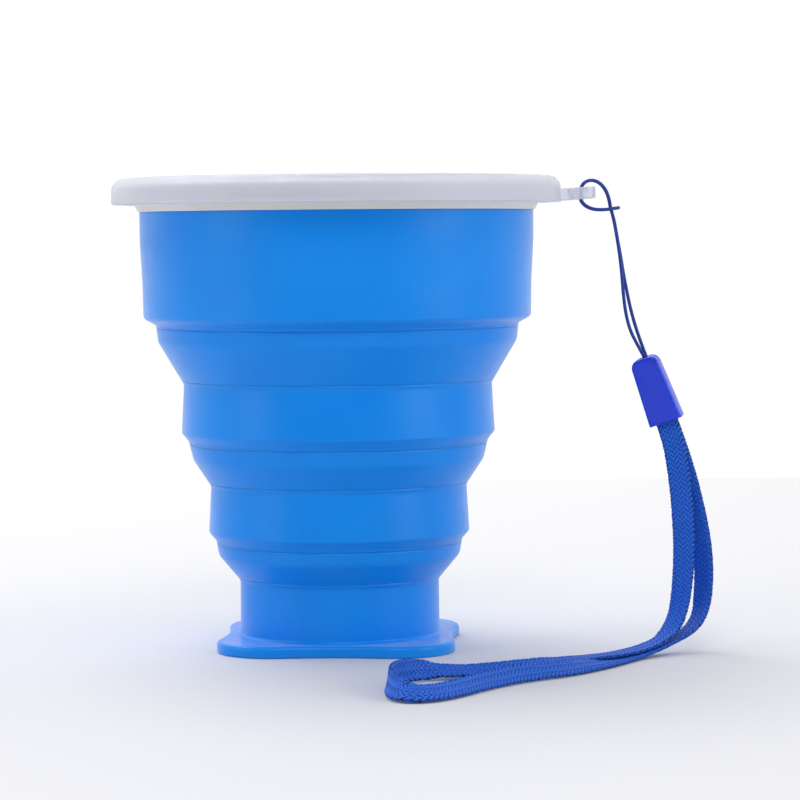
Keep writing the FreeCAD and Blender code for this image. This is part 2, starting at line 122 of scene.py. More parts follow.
# ---- Driving dimensions: lid and tab ----
LID_BOTTOM = 84.8
LID_TOP = 89.8
LID_RADIUS = 43.1
LID_WALL = 1.2
LID_DRAFT = 0.2
LID_SKIRT_BORE = 41.95
LID_BEAD = 0.1
LID_BEAD_RISE = 0.9
LID_PANEL_TOP = 88.7
LID_PANEL_BOTTOM = 87.5
LID_PLUG_RADIUS = 35.4
LID_PLUG_BOTTOM = 84.0
LID_RIM_LEAN = 0.4
LID_RIM_TOP_INSET = 0.8
LID_RIM_FOOT_INSET = 1.4
LID_RIM_ROUND = 2.3
LID_RIM_INNER_ROUND = 0.6
LID_PANEL_ROUND = 0.5
LID_HOLLOW_ROUND = 1.0
LID_CORNER_ROUND = 0.3
LID_RIM_WALL_ROUND = 0.4
LID_CREASE_ROUND = 0.2
LID_BEAD_ROUND = 0.15
TAB_ROOT = 41.9
TAB_OVERLAP = 1.5
TAB_REACH = 49.8
TAB_WIDTH = 8.0
TAB_BOTTOM = 84.9
TAB_THICKNESS = 2.3
TAB_RISE = 4.0
TAB_EDGE_ROUND = 0.25
TAB_EDGE_STEPS = 3
TAB_END_STEPS = 24
TAB_HOLE_X = 46.2
TAB_HOLE_RADIUS = 1.8
TAB_HOLE_STEPS = 32

# ---- Driving dimensions: strap and cord ----
Weave = namedtuple("Weave", "half_flat end_radius lift carriers pitch yarn_width yarn_thickness "
                            "yarn_sides")
STRAP_WIDTH = 4.4
STRAP_THICKNESS = 0.7
STRAP_LIFT = 0.1
STRAP_YARN_THICKNESS = 0.3
STRAP_STEP = 0.28
STRAP_WEAVE = Weave(
    half_flat=(STRAP_WIDTH - STRAP_THICKNESS) / 2,
    end_radius=STRAP_THICKNESS / 2 - STRAP_LIFT - STRAP_YARN_THICKNESS / 2,
    lift=STRAP_LIFT,
    carriers=10,
    pitch=9.6,
    yarn_width=0.74,
    yarn_thickness=STRAP_YARN_THICKNESS,
    yarn_sides=6,
)
CORD_DIAMETER = 0.7
CORD_LIFT = 0.03
CORD_YARN_THICKNESS = 0.16
CORD_STEP = 0.16
CORD_WEAVE = Weave(
    half_flat=0.0001,
    end_radius=CORD_DIAMETER / 2 - CORD_LIFT - CORD_YARN_THICKNESS / 2,
    lift=CORD_LIFT,
    carriers=8,
    pitch=2.6,
    yarn_width=0.29,
    yarn_thickness=CORD_YARN_THICKNESS,
    yarn_sides=5,
)
# How far ahead, in yarn spacings, a yarn's own direction is read.
LOOK_AHEAD = 0.02
ROUTE_RESOLUTION = 24
# The strap's facing at a route point is looked for within this fraction of the whole line.
FACING_SEARCH_PARTS = 6

# ---- Driving dimensions: clasp ----
CLASP_FOOT = (62.6, -8.0, 43.0)
CLASP_TILT = -20.0
CLASP_TURN = -14.0
CLASP_LENGTH = 12.9
CLASP_TOP_HALF = 2.6
CLASP_FOOT_HALF = 3.25
CLASP_HALF_DEPTH = 2.15
CLASP_SHOULDER_ROUND = 1.6
CLASP_SHOULDER_STEPS = 9
CLASP_EDGE_ROUND = 0.6
CLASP_EDGE_LIMIT = 0.8
CLASP_EDGE_STEPS = 6
CLASP_TOP_EASE = 0.5
CLASP_FOOT_EASE = 0.12
CLASP_SEAM = 0.04
CLASP_SEAM_EASE = 0.12
CLASP_POCKET_HALF = 2.5
CLASP_POCKET_DEPTH = 1.35
CLASP_POCKET_TOP = 6.5
CLASP_POCKET_TAPER = 4.5
CLASP_SLOT_HALF = 0.95
CLASP_SLOT_DEPTH = 1.2
CLASP_SHARP_DEGREES = 35
# The levels of the clasp's sections below its rounded shoulders.
CLASP_LEVELS = (0.0, 0.06, 0.15, 1.0, 3.0, 6.0, 8.0, 9.5, 10.3, 10.8)

# ---- Mesh fineness: counts, degrees, millimetres, and metres for the weld ----
ROUND_SEGMENTS = 256
ARC_STEP_DEGREES = 9
FOLD_STEP = 0.4
BAND_STEP = 1.2
RIM_STEP = 1.5
ON_AXIS = 1e-6
WELD = 1e-7

# ---- Camera: millimetres of lens and sensor, metres, degrees ----
CAMERA_LENS = 135
CAMERA_SENSOR = 36
CAMERA_PLACE = (0.0119, -0.577, 0.0792)
CAMERA_PITCH = 3.2
CAMERA_ROLL = -0.45

# ---- Stage: metres, and watts for the lights ----
FLOOR_HALF_WIDTH = 0.9
FLOOR_FRONT = -0.9
FLOOR_BACK = 0.378
# Painted light: the floor's colour runs from painted shade in front to painted light at its back edge,
# between these two colours.
FLOOR_DIM_UNTIL = -0.08
FLOOR_DIM = (0.665, 0.665, 0.688, 1)
FLOOR_BRIGHT = (0.800, 0.800, 0.812, 1)
# The surroundings' brightness, by direction from the front (-1) to the back (1).
DIM_DIRECTION = -0.7
BRIGHT_DIRECTION = 0.6
DIM_STRENGTH = 0.12
BRIGHT_STRENGTH = 0.95
WALL_STRENGTH = 1.02
LIGHT_TARGET = (0, 0, 0.04)
# Each round lamp: its name, place, diameter and power.
LIGHTS = (
    ("key_behind_left", (-0.35, 0.45, 1.0), 0.9, 7.0),
    ("top_front", (0.05, -0.7, 0.8), 0.6, 3.0),
    ("side_left", (-0.9, -0.45, 0.35), 0.6, 2.5),
    ("side_right", (0.9, -0.45, 0.35), 0.6, 3.2),
)

# The cord's route, in metres, from the clasp over the tab's end bar and back.
CORD_ROUTE = (
    (0.06005, -0.00850, 0.05070),
    (0.05885, -0.00850, 0.05420),
    (0.05720, -0.00820, 0.05720),
    (0.05570, -0.00750, 0.06020),
    (0.05495, -0.00660, 0.06340),
    (0.05460, -0.00550, 0.06690),
    (0.05440, -0.00460, 0.07060),
    (0.05410, -0.00360, 0.07440),
    (0.05360, -0.00260, 0.07810),
    (0.05310, -0.00160, 0.08130),
    (0.05255, -0.00050, 0.08370),
    (0.05230, -0.00050, 0.08540),
    (0.05160, -0.00055, 0.08720),
    (0.05030, -0.00060, 0.08860),
    (0.04860, -0.00065, 0.08900),
    (0.04720, -0.00070, 0.08820),
    (0.04675, -0.00070, 0.08660),
    (0.04685, -0.00070, 0.08500),
    (0.04780, -0.00080, 0.08390),
    (0.04930, -0.00100, 0.08330),
    (0.05080, -0.00125, 0.08320),
    (0.05230, -0.00150, 0.08330),
    (0.05360, -0.00120, 0.08350),
    (0.05430, 0.00000, 0.08360),
    (0.05360, 0.00120, 0.08350),
    (0.05230, 0.00150, 0.08330),
    (0.05080, 0.00125, 0.08320),
    (0.04930, 0.00100, 0.08330),
    (0.04780, 0.00080, 0.08390),
    (0.04685, 0.00070, 0.08500),
    (0.04675, 0.00070, 0.08660),
    (0.04720, 0.00070, 0.08820),
    (0.04860, 0.00065, 0.08900),
    (0.05030, 0.00060, 0.08860),
    (0.05160, 0.00055, 0.08720),
    (0.05230, 0.00050, 0.08540),
    (0.05255, 0.00050, 0.08370),
    (0.05330, 0.00025, 0.08130),
    (0.05375, -0.00080, 0.07810),
    (0.05430, -0.00190, 0.07470),
    (0.05475, -0.00290, 0.07130),
    (0.05535, -0.00390, 0.06770),
    (0.05600, -0.00500, 0.06420),
    (0.05690, -0.00630, 0.06060),
    (0.05810, -0.00730, 0.05700),
    (0.05920, -0.00760, 0.05400),
    (0.06030, -0.00760, 0.05070),
)

# The strap's route, in metres, from inside the clasp down leg A, round the loop on the floor and
# up leg B, with the way that its inner face looks at each point.
STRAP_ROUTE = (
    ((0.06050, -0.00836, 0.04862), (-0.13, -0.99, -0.05)),
    ((0.06360, -0.00836, 0.04015), (-0.13, -0.99, -0.05)),
    ((0.06440, -0.00910, 0.03520), (-0.2, -1.0, 0.1)),
    ((0.06505, -0.00960, 0.03000), (-0.2, -1.0, 0.1)),
    ((0.06540, -0.01030, 0.02460), (-0.2, -1.0, 0.1)),
    ((0.06550, -0.01120, 0.01920), (-0.3, -0.9, 0.2)),
    ((0.06520, -0.01240, 0.01440), (-0.4, -0.9, 0.3)),
    ((0.06460, -0.01380, 0.01000), (-0.5, -0.8, 0.4)),
    ((0.06380, -0.01540, 0.00690), (-0.5, -0.6, 0.6)),
    ((0.06240, -0.01740, 0.00440), (-0.4, -0.5, 0.8)),
    ((0.06030, -0.01950, 0.00275), (-0.1, 0.0, 1.0)),
    ((0.05740, -0.02200, 0.00180), (0.0, 0.0, 1.0)),
    ((0.05410, -0.02520, 0.00138), (0.0, 0.0, 1.0)),
    ((0.05050, -0.02940, 0.00135), (0.0, 0.0, 1.0)),
    ((0.04640, -0.03300, 0.00150), (0.0, 0.0, 1.0)),
    ((0.04170, -0.03690, 0.00150), (0.1, -0.1, 1.0)),
    ((0.03680, -0.04040, 0.00140), (0.2, -0.3, 0.9)),
    ((0.03220, -0.04370, 0.00135), (0.2, -0.4, 0.9)),
    ((0.02760, -0.04600, 0.00130), (0.1, -0.4, 0.9)),
    ((0.02320, -0.04760, 0.00135), (0.2, -0.3, 0.9)),
    ((0.01880, -0.04880, 0.00160), (0.2, -0.4, 0.9)),
    ((0.01500, -0.05060, 0.00210), (0.5, -0.7, 0.6)),
    ((0.01210, -0.05360, 0.00230), (0.8, -0.5, 0.1)),
    ((0.01040, -0.05700, 0.00235), (1.0, -0.3, 0.0)),
    ((0.00960, -0.06200, 0.00240), (1.0, -0.1, -0.1)),
    ((0.00960, -0.06720, 0.00235), (0.9, 0.1, -0.3)),
    ((0.01090, -0.07320, 0.00205), (0.7, 0.4, -0.6)),
    ((0.01350, -0.07530, 0.00165), (0.0, 0.65, -0.8)),
    ((0.01700, -0.07370, 0.00150), (-0.3, 0.45, -0.9)),
    ((0.02060, -0.06940, 0.00142), (-0.4, 0.3, -0.9)),
    ((0.02440, -0.06310, 0.00142), (-0.4, 0.3, -0.9)),
    ((0.02840, -0.05760, 0.00155), (-0.4, 0.4, -0.8)),
    ((0.03290, -0.05250, 0.00165), (-0.4, 0.5, -0.8)),
    ((0.03790, -0.04850, 0.00145), (-0.3, 0.4, -0.9)),
    ((0.04240, -0.04420, 0.00130), (-0.3, 0.35, -0.9)),
    ((0.04630, -0.03900, 0.00100), (-0.2, 0.2, -1.0)),
    ((0.05020, -0.03320, 0.00060), (-0.05, 0.05, -1.0)),
    ((0.05400, -0.02660, 0.00050), (0.0, 0.0, -1.0)),
    ((0.05810, -0.02190, 0.00105), (0.1, 0.0, -1.0)),
    ((0.06220, -0.01860, 0.00220), (0.2, 0.0, -1.0)),
    ((0.06600, -0.01600, 0.00395), (0.4, 0.2, -0.9)),
    ((0.06830, -0.01350, 0.00660), (0.6, 0.4, -0.6)),
    ((0.06910, -0.01150, 0.01080), (0.6, 0.7, -0.3)),
    ((0.06935, -0.01020, 0.01600), (0.6, 0.8, -0.1)),
    ((0.06870, -0.00940, 0.02160), (0.5, 0.9, 0.0)),
    ((0.06740, -0.00870, 0.02780), (0.4, 0.9, 0.0)),
    ((0.06580, -0.00805, 0.03380), (0.2, 1.0, 0.0)),
    ((0.06371, -0.00764, 0.04020), (0.13, 0.99, 0.05)),
    ((0.06059, -0.00764, 0.04866), (0.13, 0.99, 0.05)),
)

# ---- Camera ----
def add_camera():
    """A long-lens view from the front, from a little below the lid's top."""
    data = bpy.data.cameras.new("camera")
    data.lens = CAMERA_LENS
    data.sensor_width = CAMERA_SENSOR
    camera = bpy.data.objects.new("camera", data)
    bpy.context.scene.collection.objects.link(camera)
    camera.location = CAMERA_PLACE
    camera.rotation_mode = "QUATERNION"
    tilt = Quaternion((1, 0, 0), math.radians(90 - CAMERA_PITCH))
    roll = Quaternion((0, 0, 1), math.radians(CAMERA_ROLL))
    camera.rotation_quaternion = tilt @ roll
    bpy.context.scene.camera = camera


add_camera()


# ---- Mesh helpers ----
def link_mesh(name, mesh):
    """A new object in the scene that shows a mesh."""
    obj = bpy.data.objects.new(name, mesh)
    bpy.context.scene.collection.objects.link(obj)
    return obj


def close_work(work, name):
    """Turns a finished bmesh into a mesh, with its faces turned outward."""
    bmesh.ops.recalc_face_normals(work, faces=work.faces)
    mesh = bpy.data.meshes.new(name)
    work.to_mesh(mesh)
    work.free()
    return mesh


def bridge(work, lower, upper):
    """A closed strip of faces between two rings with the same number of points."""
    count = len(lower)
    for index in range(count):
        following = (index + 1) % count
        work.faces.new((lower[index], lower[following], upper[following], upper[index]))


def smooth_faces(work):
    for face in work.faces:
        face.smooth = True


def weight_normals(obj):
    """Lets the broad faces rule the shading, so that flats stay flat beside rounded edges."""
    weighted = obj.modifiers.new("weighted_normals", "WEIGHTED_NORMAL")
    weighted.weight = 100


def finish_piece(obj, material, body, node):
    """Gives a piece its material and its body, and hides the CAD node that it stands in for."""
    obj.data.materials.clear()
    obj.data.materials.append(material)
    if body is not None:
        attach(obj, body)
    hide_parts(node)


def corner_arc(before, here, after, radius):
    """The points of the arc that rounds a corner off."""
    way_in = (here - before).normalized()
    way_out = (after - here).normalized()
    turn = way_in.angle(way_out)
    setback = radius * math.tan(turn / 2)
    inward = (way_out - way_in).normalized()
    centre = here + inward * (radius / math.cos(turn / 2))
    first = here - way_in * setback - centre
    last = here + way_out * setback - centre
    steps = max(2, math.ceil(math.degrees(turn) / ARC_STEP_DEGREES))
    points = []
    for number in range(steps + 1):
        share = number / steps
        first_part = math.sin((1 - share) * turn) / math.sin(turn)
        last_part = math.sin(share * turn) / math.sin(turn)
        points.append(centre + first * first_part + last * last_part)
    return points


def rounded(corners):
    """The points of a closed outline through corners (r, z) or (r, z, rounding radius), in mm."""
    places = [Vector(corner[:2]) for corner in corners]
    points = []
    for index, corner in enumerate(corners):
        if len(corner) == 2:
            points.append(places[index])
            continue
        after = places[(index + 1) % len(places)]
        points += corner_arc(places[index - 1], places[index], after, corner[2])
    return points


def divided(points, step):
    """A closed outline with more points, none further than a step from the next."""
    dense = []
    for here, following in zip(points, points[1:] + points[:1]):
        pieces = max(1, math.ceil((following - here).length / step))
        for number in range(pieces):
            dense.append(here.lerp(following, number / pieces))
    return dense


def turned_ring(work, radius, height):
    """One outline point carried round Z, or a single point where it lies on the axis."""
    if radius < ON_AXIS:
        return [work.verts.new((0, 0, height * MM))]
    ring = []
    for segment in range(ROUND_SEGMENTS):
        angle = 2 * math.pi * segment / ROUND_SEGMENTS
        x = radius * MM * math.cos(angle)
        y = radius * MM * math.sin(angle)
        ring.append(work.verts.new((x, y, height * MM)))
    return ring


def lathe(name, outline):
    """A closed piece swept by a closed outline, in mm, through a full turn about Z."""
    work = bmesh.new()
    rings = [turned_ring(work, radius, height) for radius, height in outline]
    for lower, upper in zip(rings, rings[1:] + rings[:1]):
        if len(lower) > 1 and len(upper) > 1:
            bridge(work, lower, upper)
        elif len(upper) > 1:
            for segment in range(ROUND_SEGMENTS):
                following = (segment + 1) % ROUND_SEGMENTS
                work.faces.new((lower[0], upper[following], upper[segment]))
        elif len(lower) > 1:
            for segment in range(ROUND_SEGMENTS):
                following = (segment + 1) % ROUND_SEGMENTS
                work.faces.new((lower[segment], lower[following], upper[0]))
    smooth_faces(work)
    return link_mesh(name, close_work(work, name))


# ---- Materials ----
def new_material(name):
    material = bpy.data.materials.new(name)
    material.use_nodes = True
    tree = material.node_tree
    return material, tree, tree.nodes["Principled BSDF"]


def opaque(colour):
    """A colour with its alpha."""
    return (*colour, 1)


def object_noise(tree, scale, detail=3.0):
    """Noise over the piece's own coordinates."""
    coordinates = tree.nodes.new("ShaderNodeTexCoord")
    noise = tree.nodes.new("ShaderNodeTexNoise")
    noise.inputs["Scale"].default_value = scale
    noise.inputs["Detail"].default_value = detail
    tree.links.new(coordinates.outputs["Object"], noise.inputs["Vector"])
    return noise.outputs["Fac"]


def colour_ramp(tree, source, stops):
    """A colour read from a value, through two or more (position, colour) stops."""
    ramp = tree.nodes.new("ShaderNodeValToRGB")
    elements = ramp.color_ramp.elements
    elements[0].position, elements[0].color = stops[0]
    elements[1].position, elements[1].color = stops[-1]
    for position, colour in stops[1:-1]:
        element = elements.new(position)
        element.color = colour
    tree.links.new(source, ramp.inputs["Fac"])
    return ramp.outputs["Color"]


def add_bump(tree, shader, height, strength, distance):
    bump = tree.nodes.new("ShaderNodeBump")
    bump.inputs["Strength"].default_value = strength
    bump.inputs["Distance"].default_value = distance
    tree.links.new(height, bump.inputs["Height"])
    tree.links.new(bump.outputs["Normal"], shader.inputs["Normal"])


def add_cloudy_colour(tree, shader, scale, dark, light):
    """A base colour that drifts softly between two near shades."""
    cloud = object_noise(tree, scale)
    tint = colour_ramp(tree, cloud, ((0.3, opaque(dark)), (0.7, opaque(light))))
    tree.links.new(tint, shader.inputs["Base Color"])


def add_uneven_roughness(tree, shader, scale, low, high):
    """Roughness that drifts softly between two values."""
    wear = object_noise(tree, scale)
    rough = colour_ramp(tree, wear, ((0.3, (low, low, low, 1)), (0.7, (high, high, high, 1))))
    tree.links.new(rough, shader.inputs["Roughness"])


def add_grain(tree, shader, scale, strength, depth, detail=3.0):
    """The fine grain of a moulded surface, as a bump of a depth in metres."""
    add_bump(tree, shader, object_noise(tree, scale, detail), strength, depth)


def silicone_material():
    """Dyed matt silicone: an even blue with a faint cloudiness, a powdery bloom and fine grain."""
    material, tree, shader = new_material("silicone_blue")
    add_cloudy_colour(tree, shader, scale=60.0, dark=(0.001, 0.245, 0.840),
                      light=(0.003, 0.270, 0.880))
    add_uneven_roughness(tree, shader, scale=260.0, low=0.30, high=0.38)
    shader.inputs["Specular IOR Level"].default_value = 0.24
    shader.inputs["Sheen Weight"].default_value = 0.3
    shader.inputs["Sheen Roughness"].default_value = 0.3
    add_grain(tree, shader, scale=5200.0, strength=0.12, depth=0.00005, detail=2.0)
    return material


def ring_material():
    """Off-white satin plastic."""
    material, tree, shader = new_material("ring_plastic")
    add_cloudy_colour(tree, shader, scale=90.0, dark=(0.70, 0.69, 0.68), light=(0.76, 0.75, 0.74))
    shader.inputs["Roughness"].default_value = 0.45
    add_grain(tree, shader, scale=3000.0, strength=0.08, depth=0.00005)
    return material


def lid_material():
    """Frosted polypropylene: cloudy, translucent and faintly lavender."""
    material, tree, shader = new_material("lid_frosted")
    add_cloudy_colour(tree, shader, scale=70.0, dark=(0.88, 0.89, 0.97), light=(0.93, 0.94, 1.0))
    shader.inputs["Roughness"].default_value = 0.42
    shader.inputs["Transmission Weight"].default_value = 0.62
    shader.inputs["IOR"].default_value = 1.3
    add_grain(tree, shader, scale=2400.0, strength=0.15, depth=0.00006)
    return material


def clasp_material():
    """Glossy royal-blue moulded plastic with a fine spark-eroded grain."""
    material, tree, shader = new_material("clasp_plastic")
    add_cloudy_colour(tree, shader, scale=300.0, dark=(0.004, 0.038, 0.66),
                      light=(0.007, 0.046, 0.72))
    shader.inputs["Roughness"].default_value = 0.28
    add_grain(tree, shader, scale=6000.0, strength=0.1, depth=0.00004)
    return material


def metal_material():
    """Plated sheet steel."""
    material, tree, shader = new_material("crimp_metal")
    add_cloudy_colour(tree, shader, scale=900.0, dark=(0.50, 0.50, 0.52), light=(0.62, 0.62, 0.63))
    shader.inputs["Metallic"].default_value = 1.0
    shader.inputs["Roughness"].default_value = 0.3
    return material


def fibre_noise(tree, coordinates):
    """Streaks that run along a yarn, read from its own length and turn."""
    stretch = tree.nodes.new("ShaderNodeMapping")
    stretch.inputs["Scale"].default_value = (1.2, 9.0, 1.0)
    tree.links.new(coordinates, stretch.inputs["Vector"])
    fibres = tree.nodes.new("ShaderNodeTexNoise")
    fibres.inputs["Scale"].default_value = 3.0
    fibres.inputs["Detail"].default_value = 3.0
    tree.links.new(stretch.outputs["Vector"], fibres.inputs["Vector"])
    return fibres.outputs["Fac"]


def painted_gap_shade(tree, coordinates):
    """Painted shade: white on a yarn's outer face, a quarter turn round, and painted dark down in the
    gaps beside it, where neighbouring yarns would shade it.
    """
    # the painted shade colour, multiplied into the yarn down in the gaps between yarns
    gap = (0.18, 0.18, 0.22, 1)
    split = tree.nodes.new("ShaderNodeSeparateXYZ")
    tree.links.new(coordinates, split.inputs["Vector"])
    around = tree.nodes.new("ShaderNodeMath")
    around.operation = "FRACT"
    tree.links.new(split.outputs["Y"], around.inputs[0])
    return colour_ramp(tree, around.outputs["Value"], ((0.0, gap), (0.25, (1, 1, 1, 1)), (0.5, gap)))


def colour_socket(sockets, name):
    """The socket of this name that holds a colour: a Mix node has one for each kind of value."""
    matches = [socket for socket in sockets if socket.name == name and socket.type == "RGBA"]
    return matches[0]


def yarn_material(name, dark, light):
    """Spun yarn: fine filaments along each strand, and painted shade down in the gaps between strands.
    """
    material, tree, shader = new_material(name)
    along = tree.nodes.new("ShaderNodeUVMap")
    along.uv_map = "along"
    fibres = fibre_noise(tree, along.outputs["UV"])
    tint = colour_ramp(tree, fibres, ((0.3, opaque(dark)), (0.72, opaque(light))))
    shaded = tree.nodes.new("ShaderNodeMix")
    shaded.data_type = "RGBA"
    shaded.blend_type = "MULTIPLY"
    shaded.inputs["Factor"].default_value = 1.0
    tree.links.new(tint, colour_socket(shaded.inputs, "A"))
    tree.links.new(painted_gap_shade(tree, along.outputs["UV"]), colour_socket(shaded.inputs, "B"))
    tree.links.new(colour_socket(shaded.outputs, "Result"), shader.inputs["Base Color"])
    shader.inputs["Roughness"].default_value = 0.55
    shader.inputs["Specular IOR Level"].default_value = 0.3
    add_bump(tree, shader, fibres, strength=0.5, distance=0.00006)
    return material


SILICONE = silicone_material()
RING_PLASTIC = ring_material()
LID_PLASTIC = lid_material()
STRAP_YARN = yarn_material("strap_blue", dark=(0.004, 0.050, 0.60), light=(0.030, 0.260, 1.0))
CORD_YARN = yarn_material("cord_navy", dark=(0.010, 0.034, 0.26), light=(0.055, 0.130, 0.62))
CLASP_PLASTIC = clasp_material()
METAL = metal_material()


# ---- Braided cord and strap ----
def route_curve(name, places):
    """The smooth line that a cord lies along: a NURBS spline with the route as control points."""
    data = bpy.data.curves.new(name, "CURVE")
    data.dimensions = "3D"
    spline = data.splines.new("NURBS")
    spline.points.add(len(places) - 1)
    for point, place in zip(spline.points, places):
        point.co = (*place, 1)
    spline.order_u = 3
    spline.use_endpoint_u = True
    spline.resolution_u = ROUTE_RESOLUTION
    return bpy.data.objects.new(name, data)


def route_line(name, places, step):
    """Points about a step apart along the route's smooth line, and the line's length."""
    curve = route_curve(name, places)
    bpy.context.scene.collection.objects.link(curve)
    sampled = bpy.data.meshes.new_from_object(curve)
    points = [vertex.co.copy() for vertex in sampled.vertices]
    bpy.data.meshes.remove(sampled)
    bpy.data.objects.remove(curve)
    reach = [0.0]
    for before, after in zip(points, points[1:]):
        reach.append(reach[-1] + (after - before).length)
    count = max(2, round(reach[-1] / step))
    line = []
    index = 0
    for number in range(count + 1):
        target = reach[-1] * number / count
        while index < len(points) - 2 and reach[index + 1] < target:
            index += 1
        span = reach[index + 1] - reach[index]
        share = (target - reach[index]) / span if span > 0 else 0.0
        line.append(points[index].lerp(points[index + 1], min(1.0, share)))
    return line, reach[-1]


def directions(line):
    """The way that a line runs at each of its points."""
    ways = []
    for index in range(len(line)):
        before = line[max(0, index - 1)]
        after = line[min(len(line) - 1, index + 1)]
        ways.append((after - before).normalized())
    return ways


def square_to(way, facing):
    """The part of a facing that is square to the line's way."""
    return (facing - way * facing.dot(way)).normalized()


def carried_facings(ways):
    """Facings for a round cord: the first one is carried along without twist."""
    facing = ways[0].orthogonal().normalized()
    facings = []
    for way in ways:
        facing = square_to(way, facing)
        facings.append(facing)
    return facings


def facing_marks(line, route):
    """For each point of the strap's route, the nearest point of its line, and its hint."""
    marks = []
    start = 0
    for place, hint in route:
        target = Vector(place)
        window = range(start, min(len(line), start + len(line) // FACING_SEARCH_PARTS))
        start = min(window, key=lambda index: (line[index] - target).length)
        marks.append((start, Vector(hint)))
    return marks


def hinted_facings(line, ways, route):
    """Facings for the strap, turned smoothly from one route point's hint to the next one's."""
    marks = facing_marks(line, route)
    facings = []
    mark = 0
    for index, way in enumerate(ways):
        while mark < len(marks) - 2 and marks[mark + 1][0] <= index:
            mark += 1
        low, first = marks[mark]
        high, second = marks[mark + 1]
        share = min(1.0, max(0.0, (index - low) / max(1, high - low)))
        eased = share * share * (3 - 2 * share)
        facings.append(square_to(way, first.lerp(second, eased)))
    return facings


def stadium_place(turn_share, half_flat, end_radius):
    """A point and its outward direction on a flattened tube, at a share of the way round."""
    flat = 2 * half_flat
    curve = math.pi * end_radius
    whole = 2 * (flat + curve)
    travel = (turn_share % 1.0) * whole
    if travel < flat:
        return (-half_flat + travel, end_radius), (0, 1)
    travel -= flat
    if travel < curve:
        angle = math.pi / 2 - travel / end_radius
        out = (math.cos(angle), math.sin(angle))
        return (half_flat + end_radius * out[0], end_radius * out[1]), out
    travel -= curve
    if travel < flat:
        return (half_flat - travel, -end_radius), (0, -1)
    travel -= flat
    angle = -math.pi / 2 - travel / end_radius
    out = (math.cos(angle), math.sin(angle))
    return (-half_flat + end_radius * out[0], end_radius * out[1]), out


def yarn_ring(weave, place, way, facing, travel, carrier, hand):
    """The points round one yarn where it has run travel mm along the braid."""
    across = way.cross(facing)
    advance = weave.carriers * travel / weave.pitch
    around = carrier + hand * advance
    ahead = around + LOOK_AHEAD * hand
    (x, y), out = stadium_place(around / weave.carriers, weave.half_flat, weave.end_radius)
    (x_next, y_next), _ = stadium_place(ahead / weave.carriers, weave.half_flat, weave.end_radius)
    over_and_under = hand * math.cos(math.pi * (carrier + around + hand * advance - 0.5) / 2)
    rise = weave.lift * over_and_under
    centre = place + (across * (x + out[0] * rise) + facing * (y + out[1] * rise)) * MM
    normal = (across * out[0] + facing * out[1]).normalized()
    sideways = across * (x_next - x) + facing * (y_next - y)
    run = (way * (LOOK_AHEAD * weave.pitch / weave.carriers) + sideways).normalized()
    spread = run.cross(normal).normalized()
    ring = []
    for side in range(weave.yarn_sides):
        angle = 2 * math.pi * side / weave.yarn_sides
        reach = spread * (math.cos(angle) * weave.yarn_width / 2)
        reach += normal * (math.sin(angle) * weave.yarn_thickness / 2)
        ring.append(centre + reach * MM)
    return ring


def add_yarn(work, along, rings, step, carrier):
    """One yarn as a closed tube, with its length and its turn as its UVs."""
    rings = [[work.verts.new(point) for point in ring] for ring in rings]
    sides = len(rings[0])
    for number, (near, far) in enumerate(zip(rings, rings[1:])):
        start = number * step
        end = (number + 1) * step
        for side in range(sides):
            following = (side + 1) % sides
            low = carrier + side / sides
            high = carrier + (side + 1) / sides
            face = work.faces.new((near[side], near[following], far[following], far[side]))
            face.smooth = True
            for loop, place in zip(face.loops, ((start, low), (start, high), (end, high), (end, low))):
                loop[along].uv = place
    work.faces.new(rings[0])
    work.faces.new(list(reversed(rings[-1])))


def braid(name, weave, line, ways, facings):
    """A tubular braid: two sets of yarns that pass over two and under two of each other."""
    step = (line[1] - line[0]).length / MM
    work = bmesh.new()
    along = work.loops.layers.uv.new("along")
    for hand in (1, -1):
        for carrier in range(weave.carriers):
            rings = []
            for index, (place, way, facing) in enumerate(zip(line, ways, facings)):
                rings.append(yarn_ring(weave, place, way, facing, index * step, carrier, hand))
            add_yarn(work, along, rings, step, carrier)
    return link_mesh(name, close_work(work, name))


def add_strap():
    """The flat wrist strap: a tubular braid pressed flat."""
    line, length = route_line("strap_route", [place for place, _ in STRAP_ROUTE], STRAP_STEP * MM)
    ways = directions(line)
    strap = braid("wrist_strap_braid", STRAP_WEAVE, line, ways, hinted_facings(line, ways, STRAP_ROUTE))
    finish_piece(strap, STRAP_YARN, "lid", "wrist_strap")
    return strap, line, length


def add_cord():
    """The thin round cord."""
    line, length = route_line("cord_route", CORD_ROUTE, CORD_STEP * MM)
    ways = directions(line)
    cord = braid("loop_cord_braid", CORD_WEAVE, line, ways, carried_facings(ways))
    finish_piece(cord, CORD_YARN, "lid", "loop_cord")
    return cord, line, length


STRAP, STRAP_LINE, STRAP_LENGTH = add_strap()
CORD, CORD_LINE, CORD_LENGTH = add_cord()


# ---- Silicone cup ----
def line_radius(first, second, height):
    """The radius at a height on the line through two outline points."""
    share = (height - first[1]) / (second[1] - first[1])
    return first[0] + share * (second[0] - first[0])


def wall_inset(first, second):
    """How far in, measured along the radius, the inner face of a fold's wall lies."""
    rise = second[1] - first[1]
    return FOLD_WALL * math.hypot(second[0] - first[0], rise) / rise


